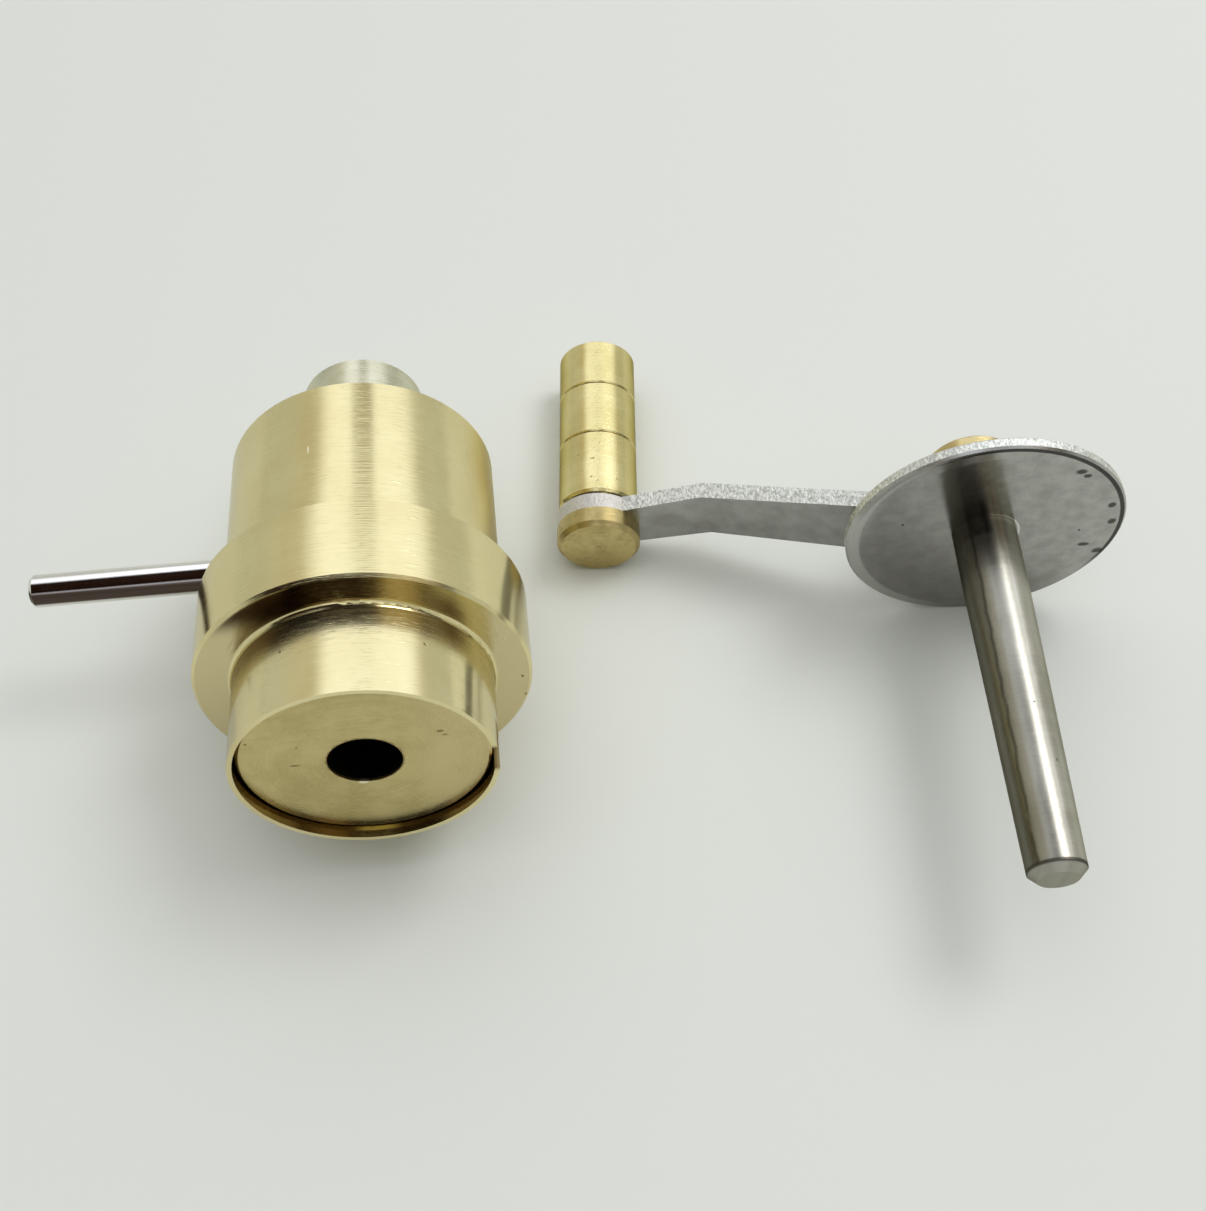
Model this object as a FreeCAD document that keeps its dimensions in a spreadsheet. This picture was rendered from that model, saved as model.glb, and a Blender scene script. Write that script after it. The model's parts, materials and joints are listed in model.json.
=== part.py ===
"""Watch mainspring winder: a brass winding drum with an ejector, and its loose crank and arbor.

The two units lie side by side on a bench, and every sub-part is one object of this document.
Lengths are in millimetres and angles in degrees. The bench is the plane Z = 0, the drum's mouth
faces -Y, and the origin is the middle of the space that the whole set takes up on the bench.
"""
import FreeCAD, Part
import math
import os
import Sketcher
from FreeCAD import Placement, Rotation, Vector

DRIVING_SIZES = {
    # Spring tube: thin sleeve that the mainspring is wound into, cut open on one side.
    "tube_radius": 5.2,
    "tube_wall": 0.2,
    "tube_reach": 4.1,
    "tube_seat": 2.5,
    "seat_taper": 0.1,
    "slot_width": 1.4,
    "slot_depth": 1.3,
    # Drum body: collar at the tube's foot and a plainer barrel behind it.
    "collar_radius": 6.75,
    "collar_length": 3.9,
    "barrel_radius": 5.75,
    "barrel_length": 7.7,
    "edge_break": 0.12,
    "lip_length": 0.2,
    "lip_spread": 0.06,
    "lip_fillet": 0.18,
    # Handle rod, pressed into the barrel behind the collar.
    "rod_radius": 0.69,
    "rod_tip": 14.0,
    "rod_root": 3.0,
    "rod_setback": 2.55,
    "rod_bevel": 0.15,
    # Ejector: head in the tube, hollow stem in the barrel and knob at the back.
    "head_recess": 0.45,
    "stem_radius": 2.27,
    "stem_socket": 2.05,
    "retract_travel": 1.5,
    "eject_travel": 0.75,
    "stop_gap": 0.05,
    "slide_gap": 0.03,
    "head_gap": 0.09,
    "knob_step": 0.47,
    "knob_length": 4.2,
    "knob_socket": 2.5,
    "knob_bevel": 0.25,
    # Arbor: tapered shaft with a short parallel seat and a hook for the spring's inner eye.
    "arbor_length": 16.0,
    "arbor_root": 1.375,
    "arbor_play": 0.095,
    "arbor_tip": 1.17,
    "arbor_seat": 2.5,
    "arbor_bevel": 0.35,
    "arbor_tail": 1.05,
    "tail_proud": 0.1,
    "hook_radius": 0.25,
    "hook_station": 0.9,
    "hook_proud": 0.25,
    "hook_root": 0.4,
    # Cover disc, stamped, so its front edge rolls over a little.
    "disc_overhang": 0.82,
    "disc_thickness": 0.6,
    "roll_width": 0.7,
    "roll_drop": 0.05,
    "disc_break": 0.09,
    # Crank arm: tapered strip with two bends.
    "arm_length": 17.2,
    "arm_thickness": 0.8,
    "arm_root_half": 1.94,
    "arm_tip_half": 1.27,
    "arm_eye": 1.9,
    "arm_bend_near": 2.6,
    "arm_bend_far": 12.1,
    "arm_offset": 2.98,
    "arm_bend_radius": 0.5,
    # Hub boss behind the arm.
    "boss_radius": 2.0,
    "boss_length": 2.6,
    # Grip and the pin that it turns on.
    "button_radius": 1.94,
    "button_length": 0.95,
    "button_break": 0.2,
    "button_skin": 0.35,
    "mark_radius": 0.14,
    "mark_depth": 0.1,
    "pin_radius": 0.8,
    "washer_radius": 1.35,
    "washer_thickness": 0.2,
    "grip_radius": 1.86,
    "grip_length": 9.2,
    "grip_gap": 0.05,
    "grip_end_gap": 0.02,
    "grip_break": 0.12,
    "groove_near": 3.5,
    "groove_far": 6.52,
    "groove_half": 0.08,
    "groove_depth": 0.1,
    "retainer_radius": 1.25,
    "retainer_length": 0.6,
    "retainer_inset": 0.25,
    # Where the crank unit lies, seen from the centre of the drum's mouth.
    "crank_across": 26.9,
    "crank_back": 9.35,
}
ARM_EYE_TILT = 1.8
CRANK_YAW = -3.7

ORIGIN = Vector(0, 0, 0)
X, Y, Z = Vector(1, 0, 0), Vector(0, 1, 0), Vector(0, 0, 1)

doc = FreeCAD.newDocument("mainspring_winder")
sizes = doc.addObject("Spreadsheet::Sheet", "Sizes")
for row, (alias, number) in enumerate(DRIVING_SIZES.items(), start=1):
    sizes.set(f"A{row}", alias)
    sizes.set(f"B{row}", str(number))
    sizes.setAlias(f"B{row}", alias)
for row, (alias, degrees) in enumerate(
    {"arm_eye_tilt": ARM_EYE_TILT, "crank_yaw": CRANK_YAW}.items(), start=len(DRIVING_SIZES) + 1
):
    sizes.set(f"A{row}", alias)
    sizes.set(f"B{row}", str(degrees))
    sizes.setAlias(f"B{row}", alias)
doc.recompute()


def amount(terms):
    """The number that a sum of named sizes gives, such as "tube_radius - tube_wall"."""
    total, sign = 0.0, 1
    for term in terms.split():
        if term in ("+", "-"):
            sign = 1 if term == "+" else -1
        elif term != "0":
            total += sign * float(sizes.get(term))
    return total


def formula(terms):
    """The same sum as an expression on the sheet."""
    words = terms.split()
    return " ".join(word if word in ("+", "-", "0") else f"Sizes.{word}" for word in words)


def origin_plane(body, role):
    return next(plane for plane in body.Origin.OriginFeatures if plane.Role == role)


def new_body(name):
    body = doc.addObject("PartDesign::Body", name)
    body.Label = name
    return body


def new_sketch(body, name, role):
    sketch = body.newObject("Sketcher::SketchObject", name)
    sketch.AttachmentSupport = [(origin_plane(body, role), "")]
    sketch.MapMode = "FlatFace"
    return sketch


def hold(sketch, constraint, terms):
    """Adds a dimension and binds it to a sum of named sizes."""
    index = sketch.addConstraint(constraint)
    sketch.setExpression(f"Constraints[{index}]", formula(terms))


def draw_outline(sketch, corners):
    """Closed outline of straight lines. A corner is two sums of named sizes, or "0" on an axis."""
    points = [Vector(amount(across), amount(along), 0) for across, along in corners]
    count = len(points)
    for index in range(count):
        sketch.addGeometry(Part.LineSegment(points[index], points[(index + 1) % count]))
    for index, (across, along) in enumerate(corners):
        sketch.addConstraint(Sketcher.Constraint("Coincident", index, 2, (index + 1) % count, 1))
        for kind, terms, axis in (("DistanceX", across, -2), ("DistanceY", along, -1)):
            if terms == "0":
                sketch.addConstraint(Sketcher.Constraint("PointOnObject", index, 1, axis))
            else:
                hold(sketch, Sketcher.Constraint(kind, -1, 1, index, 1, amount(terms)), terms)


def turned_body(name, corners):
    """A piece turned about its own Y axis. Its outline's corners are (radius, station)."""
    body = new_body(name)
    sketch = new_sketch(body, name + "_outline", "XY_Plane")
    draw_outline(sketch, corners)
    turning = body.newObject("PartDesign::Revolution", name + "_turning")
    turning.Profile = sketch
    turning.ReferenceAxis = (sketch, ["V_Axis"])
    turning.Angle = 360
    return body


def drill(body, name, radius, length, placement):
    """Cuts a round hole that starts at the placement's origin and runs along its Z axis."""
    hole = body.newObject("PartDesign::SubtractiveCylinder", name)
    hole.setExpression("Radius", formula(radius))
    hole.setExpression("Height", formula(length))
    hole.Placement = placement
    return hole


# --- Drum unit: stations run along Y from the rim of the mouth towards the knob. ---

COLLAR_FRONT = "tube_reach"
COLLAR_BACK = "tube_reach + collar_length"
BARREL_BACK = "tube_reach + collar_length + barrel_length"
TUBE_END = "tube_reach + tube_seat"
HEAD_BACK = TUBE_END + " - retract_travel - stop_gap"
KNOB_FRONT = BARREL_BACK + " + eject_travel + stop_gap"
STEM_BACK = KNOB_FRONT + " + knob_socket"
KNOB_BACK = KNOB_FRONT + " + knob_length"
ROD_STATION = COLLAR_BACK + " + rod_setback"
TUBE_BORE = "tube_radius - tube_wall"
LIP_FRONT = "tube_reach - lip_length"
TAIL_RADIUS = "tube_radius - seat_taper"
EJECTOR_BORE = "arbor_root + arbor_play"
KNOB_RADIUS = "stem_radius + knob_step"
DISC_RADIUS = "tube_radius + disc_overhang"


def ring_edges(shape, radius, station):
    """Names of the round edges of one radius at one station of a turned body."""
    names = []
    for index, edge in enumerate(shape.Edges, start=1):
        curve = edge.Curve
        if isinstance(curve, Part.Circle) and abs(curve.Radius - amount(radius)) < 1e-4:
            if abs(curve.Center.y - amount(station)) < 1e-4:
                names.append(f"Edge{index}")
    return names


def make_drum_body():
    """Barrel with a long bore for the stem. Its front spigot carries the collar."""
    stem_bore = "stem_radius + slide_gap"
    body = turned_body("drum_body", [
        (stem_bore, TUBE_END),
        (TAIL_RADIUS, TUBE_END),
        (TAIL_RADIUS, COLLAR_BACK),
        ("barrel_radius", COLLAR_BACK),
        ("barrel_radius", BARREL_BACK + " - edge_break"),
        ("barrel_radius - edge_break", BARREL_BACK),
        (stem_bore, BARREL_BACK),
    ])
    rod_seat = Placement(Vector(-amount("rod_root"), amount(ROD_STATION), 0), Rotation(Y, -90))
    drill(body, "rod_hole", "rod_radius", "rod_tip", rod_seat)
    return body


def make_drum_collar():
    """Ring on the barrel's spigot, with a tapered seat for the tube.

    A small lip with a hollow flank stands round the tube where it leaves the collar.
    """
    lip_foot = "tube_radius + lip_spread"
    body = turned_body("drum_collar", [
        (TAIL_RADIUS, TUBE_END),
        ("tube_radius", LIP_FRONT),
        (lip_foot, COLLAR_FRONT),
        ("collar_radius - edge_break", COLLAR_FRONT),
        ("collar_radius", COLLAR_FRONT + " + edge_break"),
        ("collar_radius", COLLAR_BACK + " - edge_break"),
        ("collar_radius - edge_break", COLLAR_BACK),
        (TAIL_RADIUS, COLLAR_BACK),
    ])
    doc.recompute()
    turning = body.Tip
    flank = body.newObject("PartDesign::Fillet", "lip_flank")
    flank.Base = (turning, ring_edges(turning.Shape, lip_foot, COLLAR_FRONT))
    flank.setExpression("Radius", formula("lip_fillet"))
    return body


def make_spring_tube():
    """Thin sleeve with a slot for the mainspring's outer end.

    Its tail tapers a little, so that it holds itself once it is pressed into the collar.
    """
    body = turned_body("spring_tube", [
        (TUBE_BORE, "0"),
        ("tube_radius", "0"),
        ("tube_radius", LIP_FRONT),
        (TAIL_RADIUS, TUBE_END),
        (TUBE_BORE, TUBE_END),
    ])
    slot = body.newObject("PartDesign::SubtractiveBox", "tube_slot")
    slot.setExpression("Length", formula("tube_radius"))
    slot.setExpression("Width", "2 * Sizes.slot_depth")
    slot.setExpression("Height", formula("slot_width"))
    slot.setExpression(".Placement.Base.x", "Sizes.tube_radius / 2")
    slot.setExpression(".Placement.Base.y", "-Sizes.slot_depth")
    slot.setExpression(".Placement.Base.z", "-Sizes.slot_width / 2")
    return body


def make_plunger_head():
    """Piston that pushes the coiled spring out of the tube. The arbor passes through its bore."""
    head = TUBE_BORE + " - head_gap"
    return turned_body("plunger_head", [
        (EJECTOR_BORE, "head_recess"),
        (head + " - edge_break", "head_recess"),
        (head, "head_recess + edge_break"),
        (head, HEAD_BACK),
        ("stem_radius", HEAD_BACK),
        ("stem_radius", HEAD_BACK + " - stem_socket"),
        (EJECTOR_BORE, HEAD_BACK + " - stem_socket"),
    ])


def make_plunger_stem():
    """Hollow steel stem that joins the head to the knob."""
    return turned_body("plunger_stem", [
        (EJECTOR_BORE, HEAD_BACK + " - stem_socket"),
        ("stem_radius", HEAD_BACK + " - stem_socket"),
        ("stem_radius", STEM_BACK),
        (EJECTOR_BORE, STEM_BACK),
    ])


def make_push_knob():
    """Steel knob. Its front shoulder stops on the barrel when the spring is out."""
    return turned_body("push_knob", [
        ("0", STEM_BACK),
        ("stem_radius", STEM_BACK),
        ("stem_radius", KNOB_FRONT),
        (KNOB_RADIUS + " - edge_break", KNOB_FRONT),
        (KNOB_RADIUS, KNOB_FRONT + " + edge_break"),
        (KNOB_RADIUS, KNOB_BACK + " - knob_bevel"),
        (KNOB_RADIUS + " - knob_bevel", KNOB_BACK),
        ("0", KNOB_BACK),
    ])


def make_handle_rod():
    """Polished cross rod, drawn along Y from the drum's axis outwards."""
    return turned_body("handle_rod", [
        ("0", "rod_root"),
        ("rod_radius", "rod_root"),
        ("rod_radius", "rod_tip - rod_bevel"),
        ("rod_radius - rod_bevel", "rod_tip"),
        ("0", "rod_tip"),
    ])


# --- Crank unit: stations run along Y from the arbor's tip, and the arm points along X. ---

DISC_FRONT = "arbor_length"
DISC_BACK = DISC_FRONT + " + disc_thickness"
ARM_BACK = DISC_BACK + " + arm_thickness"
BOSS_BACK = ARM_BACK + " + boss_length"


def hook_placement():
    station = amount(DISC_FRONT + " - hook_station")
    return Placement(Vector(0, station, amount("hook_root")), Rotation())


def make_arbor():
    """Winding arbor with a tapered shaft and a thinner tail, riveted over behind the boss."""
    body = turned_body("arbor", [
        ("0", "0"),
        ("arbor_tip - arbor_bevel", "0"),
        ("arbor_tip", "arbor_bevel"),
        ("arbor_root", DISC_FRONT + " - arbor_seat"),
        ("arbor_root", DISC_FRONT),
        ("arbor_tail", DISC_FRONT),
        ("arbor_tail", BOSS_BACK + " + tail_proud"),
        ("0", BOSS_BACK + " + tail_proud"),
    ])
    drill(body, "hook_hole", "hook_radius", "arbor_root", hook_placement())
    return body


def make_arbor_hook():
    """Small steel pin in the arbor's seat that catches the eye of the mainspring."""
    hook = doc.addObject("Part::Cylinder", "arbor_hook")
    hook.Label = "arbor_hook"
    hook.setExpression("Radius", formula("hook_radius"))
    hook.setExpression("Height", formula("arbor_root + hook_proud - hook_root"))
    return hook


def make_cover_disc():
    """Stamped disc that closes the drum's mouth while the spring is wound."""
    return turned_body("cover_disc", [
        ("arbor_tail", DISC_FRONT),
        (DISC_RADIUS + " - roll_width", DISC_FRONT),
        (DISC_RADIUS + " - disc_break", DISC_FRONT + " + roll_drop"),
        (DISC_RADIUS, DISC_FRONT + " + roll_drop + disc_break"),
        (DISC_RADIUS, DISC_BACK + " - disc_break"),
        (DISC_RADIUS + " - disc_break", DISC_BACK),
        ("arbor_tail", DISC_BACK),
    ])


def make_hub_boss():
    """Brass boss that the arm is clamped against."""
    return turned_body("hub_boss", [
        ("arbor_tail", ARM_BACK),
        ("boss_radius - edge_break", ARM_BACK),
        ("boss_radius", ARM_BACK + " + edge_break"),
        ("boss_radius", BOSS_BACK + " - edge_break"),
        ("boss_radius - edge_break", BOSS_BACK),
        ("arbor_tail", BOSS_BACK),
    ])


def eye_placement():
    """Frame of the arm's outer eye: its origin lies on the arm's front face, on the grip's axis."""
    tilt = math.radians(ARM_EYE_TILT)
    beyond_bend = amount("arm_length - arm_bend_far")
    back = amount(DISC_BACK + " + arm_offset") + beyond_bend * math.tan(tilt)
    return Placement(Vector(amount("arm_length"), back, 0), Rotation(Z, ARM_EYE_TILT))


def draw_arm_side(sketch):
    """Side of the bent strip: a flat at the hub, a slanting run and an almost flat outer end."""
    thickness = amount("arm_thickness")
    front = amount(DISC_BACK)
    rise = amount("arm_offset")
    near, far = amount("arm_bend_near"), amount("arm_bend_far")
    end = amount("arm_length + arm_eye")
    slant = math.atan2(rise, far - near)
    tilt = math.radians(ARM_EYE_TILT)
    start = -amount("arm_root_half")
    end_rise = rise + (end - far) * math.tan(tilt)
    inner_shift = thickness * math.tan(slant / 2)
    outer_shift = thickness * math.sin((slant + tilt) / 2) / math.cos((slant - tilt) / 2)
    outer_drop = thickness * math.cos((slant + tilt) / 2) / math.cos((slant - tilt) / 2)
    points = [
        Vector(start, front, 0),
        Vector(near, front, 0),
        Vector(far, front + rise, 0),
        Vector(end, front + end_rise, 0),
        Vector(end, front + end_rise + thickness / math.cos(tilt), 0),
        Vector(far - outer_shift, front + rise + outer_drop, 0),
        Vector(near - inner_shift, front + thickness, 0),
        Vector(start, front + thickness, 0),
    ]
    for index in range(8):
        sketch.addGeometry(Part.LineSegment(points[index], points[(index + 1) % 8]))
    for index in range(8):
        sketch.addConstraint(Sketcher.Constraint("Coincident", index, 2, (index + 1) % 8, 1))
    sketch.addConstraint(Sketcher.Constraint("Horizontal", 0))
    sketch.addConstraint(Sketcher.Constraint("Vertical", 3))
    sketch.addConstraint(Sketcher.Constraint("Vertical", 7))
    for front_line, back_line in ((0, 6), (1, 5), (2, 4)):
        sketch.addConstraint(Sketcher.Constraint("Parallel", front_line, back_line))
        hold(sketch, Sketcher.Constraint("Distance", front_line, 2, back_line, thickness), "arm_thickness")
    hold(sketch, Sketcher.Constraint("DistanceX", 0, 1, -1, 1, -start), "arm_root_half")
    hold(sketch, Sketcher.Constraint("DistanceY", -1, 1, 0, 1, front), DISC_BACK)
    hold(sketch, Sketcher.Constraint("DistanceX", -1, 1, 1, 1, near), "arm_bend_near")
    hold(sketch, Sketcher.Constraint("DistanceX", -1, 1, 2, 1, far), "arm_bend_far")
    hold(sketch, Sketcher.Constraint("DistanceY", 1, 1, 2, 1, rise), "arm_offset")
    hold(sketch, Sketcher.Constraint("DistanceX", -1, 1, 3, 1, end), "arm_length + arm_eye")
    angle = sketch.addConstraint(Sketcher.Constraint("Angle", 2, tilt))
    sketch.setExpression(f"Constraints[{angle}]", "Sizes.arm_eye_tilt * 1 deg")
    outer_creases, inner_creases = (points[1], points[5]), (points[6], points[2])
    return outer_creases, inner_creases


def draw_arm_plan(sketch):
    """Plan of the flat blank: round at the hub, tapering to a neck and a round eye."""
    root, eye, tip = amount("arm_root_half"), amount("arm_eye"), amount("arm_tip_half")
    length = amount("arm_length")
    neck = length - math.sqrt(eye ** 2 - tip ** 2)
    lean = math.asin((root - tip) / neck)
    hub_circle = Part.Circle(ORIGIN, Z, root)
    eye_circle = Part.Circle(Vector(length, 0, 0), Z, eye)
    hub_end = math.pi / 2 - lean
    eye_end = math.atan2(tip, neck - length)
    upper = Vector(root * math.cos(hub_end), root * math.sin(hub_end), 0)
    lower = Vector(upper.x, -upper.y, 0)
    sketch.addGeometry(Part.ArcOfCircle(hub_circle, hub_end, 2 * math.pi - hub_end))
    sketch.addGeometry(Part.LineSegment(lower, Vector(neck, -tip, 0)))
    sketch.addGeometry(Part.ArcOfCircle(eye_circle, -eye_end, eye_end))
    sketch.addGeometry(Part.LineSegment(Vector(neck, tip, 0), upper))
    sketch.addConstraint(Sketcher.Constraint("Coincident", 0, 3, -1, 1))
    sketch.addConstraint(Sketcher.Constraint("PointOnObject", 2, 3, -1))
    sketch.addConstraint(Sketcher.Constraint("Tangent", 0, 2, 1, 1))
    sketch.addConstraint(Sketcher.Constraint("Tangent", 3, 2, 0, 1))
    sketch.addConstraint(Sketcher.Constraint("Coincident", 1, 2, 2, 1))
    sketch.addConstraint(Sketcher.Constraint("Coincident", 2, 2, 3, 1))
    hold(sketch, Sketcher.Constraint("Radius", 0, root), "arm_root_half")
    hold(sketch, Sketcher.Constraint("Radius", 2, eye), "arm_eye")
    hold(sketch, Sketcher.Constraint("DistanceX", -1, 1, 2, 3, length), "arm_length")
    hold(sketch, Sketcher.Constraint("DistanceY", -1, 1, 3, 1, tip), "arm_tip_half")
    hold(sketch, Sketcher.Constraint("DistanceY", 1, 2, -1, 1, tip), "arm_tip_half")


def crease_edges(shape, points):
    """Names of the edges that run across the strip at the given corners of its side."""
    names = []
    for index, edge in enumerate(shape.Edges, start=1):
        runs_across = abs(edge.tangentAt(edge.FirstParameter).z) > 0.99
        place = edge.Vertexes[0].Point
        if runs_across and any(math.hypot(place.x - p.x, place.y - p.y) < 1e-4 for p in points):
            names.append(f"Edge{index}")
    return names


def make_crank_arm():
    """Arm bent from strip and cut to a tapered plan, with holes for the arbor and the grip's pin."""
    body = new_body("crank_arm")
    side = new_sketch(body, "arm_side", "XY_Plane")
    outer_creases, inner_creases = draw_arm_side(side)
    strip = body.newObject("PartDesign::Pad", "arm_strip")
    strip.Profile = side
    strip.Midplane = True
    strip.setExpression("Length", "3 * max(Sizes.arm_root_half; Sizes.arm_eye)")
    doc.recompute()
    inside = body.newObject("PartDesign::Fillet", "arm_inside_bends")
    inside.Base = (strip, crease_edges(strip.Shape, inner_creases))
    inside.setExpression("Radius", formula("arm_bend_radius"))
    doc.recompute()
    outside = body.newObject("PartDesign::Fillet", "arm_outside_bends")
    outside.Base = (inside, crease_edges(inside.Shape, outer_creases))
    outside.setExpression("Radius", formula("arm_bend_radius + arm_thickness"))
    doc.recompute()

    blank = new_body("arm_blank")
    plan = new_sketch(blank, "arm_plan", "XZ_Plane")
    draw_arm_plan(plan)
    depth = blank.newObject("PartDesign::Pad", "arm_blank_depth")
    depth.Profile = plan
    depth.Midplane = True
    depth.setExpression("Length", "4 * (" + formula(BOSS_BACK + " + arm_offset") + ")")
    doc.recompute()
    trim = body.newObject("PartDesign::Boolean", "arm_trim")
    trim.Type = "Common"
    trim.setObjects([blank])
    doc.recompute()

    drill(body, "arm_hub_hole", "arbor_tail", BOSS_BACK, ALONG_Y)
    pin_start = Placement(Vector(0, -amount("arm_thickness"), 0), Rotation())
    through_arm = "arm_thickness + arm_thickness + arm_thickness"
    drill(body, "arm_pin_hole", "pin_radius", through_arm, eye_placement() * pin_start * ALONG_Y)
    return body


# --- Grip: stations run along its own axis from the button's face towards the grip's far end. ---

BUTTON_BACK = "button_length"
WASHER_FRONT = "button_length + arm_thickness"
WASHER_BACK = WASHER_FRONT + " + washer_thickness"
GRIP_FRONT = WASHER_BACK + " + grip_end_gap"
GRIP_BACK = GRIP_FRONT + " + grip_length"
RETAINER_BACK = GRIP_BACK + " - retainer_inset"
RETAINER_FRONT = RETAINER_BACK + " - retainer_length"


def make_grip_button():
    """Brass button on the front of the arm, with a centre mark and a blind seat for the pin."""
    return turned_body("grip_button", [
        ("0", "mark_depth"),
        ("mark_radius", "0"),
        ("button_radius - button_break", "0"),
        ("button_radius", "button_break"),
        ("button_radius", BUTTON_BACK),
        ("pin_radius", BUTTON_BACK),
        ("pin_radius", "button_skin"),
        ("0", "button_skin"),
    ])


def make_grip_pin():
    """Steel pin through the button, the arm and the grip."""
    return turned_body("grip_pin", [
        ("0", "button_skin"),
        ("pin_radius", "button_skin"),
        ("pin_radius", RETAINER_BACK),
        ("0", RETAINER_BACK),
    ])


def make_grip_washer():
    """Thin washer that keeps the grip off the arm."""
    return turned_body("grip_washer", [
        ("pin_radius", WASHER_FRONT),
        ("washer_radius", WASHER_FRONT),
        ("washer_radius", WASHER_BACK),
        ("pin_radius", WASHER_BACK),
    ])


def make_grip():
    """Brass sleeve with two turned grooves. It runs on the pin, and its far end hides the retainer."""
    bore = "pin_radius + grip_gap"
    well = "retainer_radius + grip_gap"
    well_floor = RETAINER_FRONT + " - grip_end_gap"
    outline = [(bore, GRIP_FRONT), ("grip_radius - grip_break", GRIP_FRONT)]
    outline.append(("grip_radius", GRIP_FRONT + " + grip_break"))
    for groove in ("groove_near", "groove_far"):
        middle = GRIP_FRONT + " + " + groove
        outline.append(("grip_radius", middle + " - groove_half"))
        outline.append(("grip_radius - groove_depth", middle))
        outline.append(("grip_radius", middle + " + groove_half"))
    outline += [
        ("grip_radius", GRIP_BACK + " - grip_break"),
        ("grip_radius - grip_break", GRIP_BACK),
        (well, GRIP_BACK),
        (well, well_floor),
        (bore, well_floor),
    ]
    return turned_body("grip", outline)


def make_grip_retainer():
    """Steel collar pressed on the pin's end, sunk in the grip's far end."""
    return turned_body("grip_retainer", [
        ("pin_radius", RETAINER_FRONT),
        ("retainer_radius", RETAINER_FRONT),
        ("retainer_radius", RETAINER_BACK),
        ("pin_radius", RETAINER_BACK),
    ])


# --- Where each unit lies on the bench. ---


def drum_placement():
    """The drum rests on its collar and on the barrel's back edge, so its mouth tips up a little."""
    tilt = math.atan2(amount("collar_radius - barrel_radius"), amount("barrel_length"))
    contact = amount(COLLAR_BACK + " - edge_break")
    height = amount("collar_radius") * math.cos(tilt) + contact * math.sin(tilt)
    return Placement(Vector(0, 0, height), Rotation(X, -math.degrees(tilt)))


def lowest_of(rims, up):
    """The lowest point of some circles, each given by its centre, axis and radius."""
    points = []
    for centre, axis, radius in rims:
        downward = axis * up.dot(axis) - up
        points.append(centre + downward * (radius / downward.Length))
    return min(points, key=up.dot)


def crank_placement():
    """The crank rests on three points: the disc's rim, the button's rim and the grip's far end."""
    eye = grip_placement()
    grip_axis = eye.Rotation.multVec(Y)
    disc_rims = [
        (Vector(0, amount(station), 0), Y, amount(DISC_RADIUS))
        for station in (DISC_FRONT + " + roll_drop + disc_break", DISC_BACK + " - disc_break")
    ]
    button_rims = [
        (eye.multVec(Vector(0, amount(station), 0)), grip_axis, amount("button_radius"))
        for station in ("button_break", BUTTON_BACK)
    ]
    grip_end = eye.multVec(Vector(0, amount(GRIP_BACK + " - grip_break"), 0))
    grip_rims = [(grip_end, grip_axis, amount("grip_radius"))]
    up = Vector(0, 0, -1)
    for _ in range(40):
        disc, front, back = (lowest_of(rims, up) for rims in (disc_rims, button_rims, grip_rims))
        up = (front - disc).cross(back - disc).normalize()
        if up.z > 0:
            up = -up
    along = (Y - up * up.dot(Y)).normalize()
    upright = Rotation(along.cross(up), along, up, "ZYX").inverted()
    turned = Rotation(Z, CRANK_YAW) * upright
    height = -disc.dot(up)
    disc_centre = turned.multVec(Vector(0, amount(DISC_FRONT), 0))
    across, back = amount("crank_across"), amount("crank_back")
    return Placement(Vector(across - disc_centre.x, back - disc_centre.y, height), turned)


def grip_placement():
    """Frame of the grip in the crank unit: its origin is the middle of the button's face."""
    return eye_placement() * Placement(Vector(0, -amount("button_length"), 0), Rotation())


ALONG_Y = Placement(ORIGIN, Rotation(X, -90))
rod_frame = Placement(Vector(0, amount(ROD_STATION), 0), Rotation(Z, 90))
drum_frame = drum_placement()
crank_frame = crank_placement()
grip_frame = crank_frame * grip_placement()

parts = {
    make_drum_body(): drum_frame,
    make_drum_collar(): drum_frame,
    make_spring_tube(): drum_frame,
    make_plunger_head(): drum_frame,
    make_plunger_stem(): drum_frame,
    make_push_knob(): drum_frame,
    make_handle_rod(): drum_frame * rod_frame,
    make_arbor(): crank_frame,
    make_arbor_hook(): crank_frame * hook_placement(),
    make_cover_disc(): crank_frame,
    make_crank_arm(): crank_frame,
    make_hub_boss(): crank_frame,
    make_grip_button(): grip_frame,
    make_grip_pin(): grip_frame,
    make_grip_washer(): grip_frame,
    make_grip(): grip_frame,
    make_grip_retainer(): grip_frame,
}
for part, frame in parts.items():
    part.Placement = frame
doc.recompute()

# The set is centred on the bench's origin.
extent = FreeCAD.BoundBox()
for part in parts:
    extent.add(part.Shape.optimalBoundingBox())
centring = Placement(Vector(-extent.Center.x, -extent.Center.y, 0), Rotation())
for part, frame in parts.items():
    part.Placement = centring * frame
doc.recompute()

for item in doc.Objects:
    if "Invalid" in item.State or "Error" in item.State:
        raise RuntimeError(f"{item.Label} did not build: {item.State}")
for part in parts:
    if part.Shape.isNull() or not part.Shape.isValid() or len(part.Shape.Solids) != 1:
        raise RuntimeError(f"{part.Label} is not one valid solid")

os.makedirs("parts", exist_ok=True)
for part in parts:
    part.Shape.exportStep(f"parts/{part.Label}.step")

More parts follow.
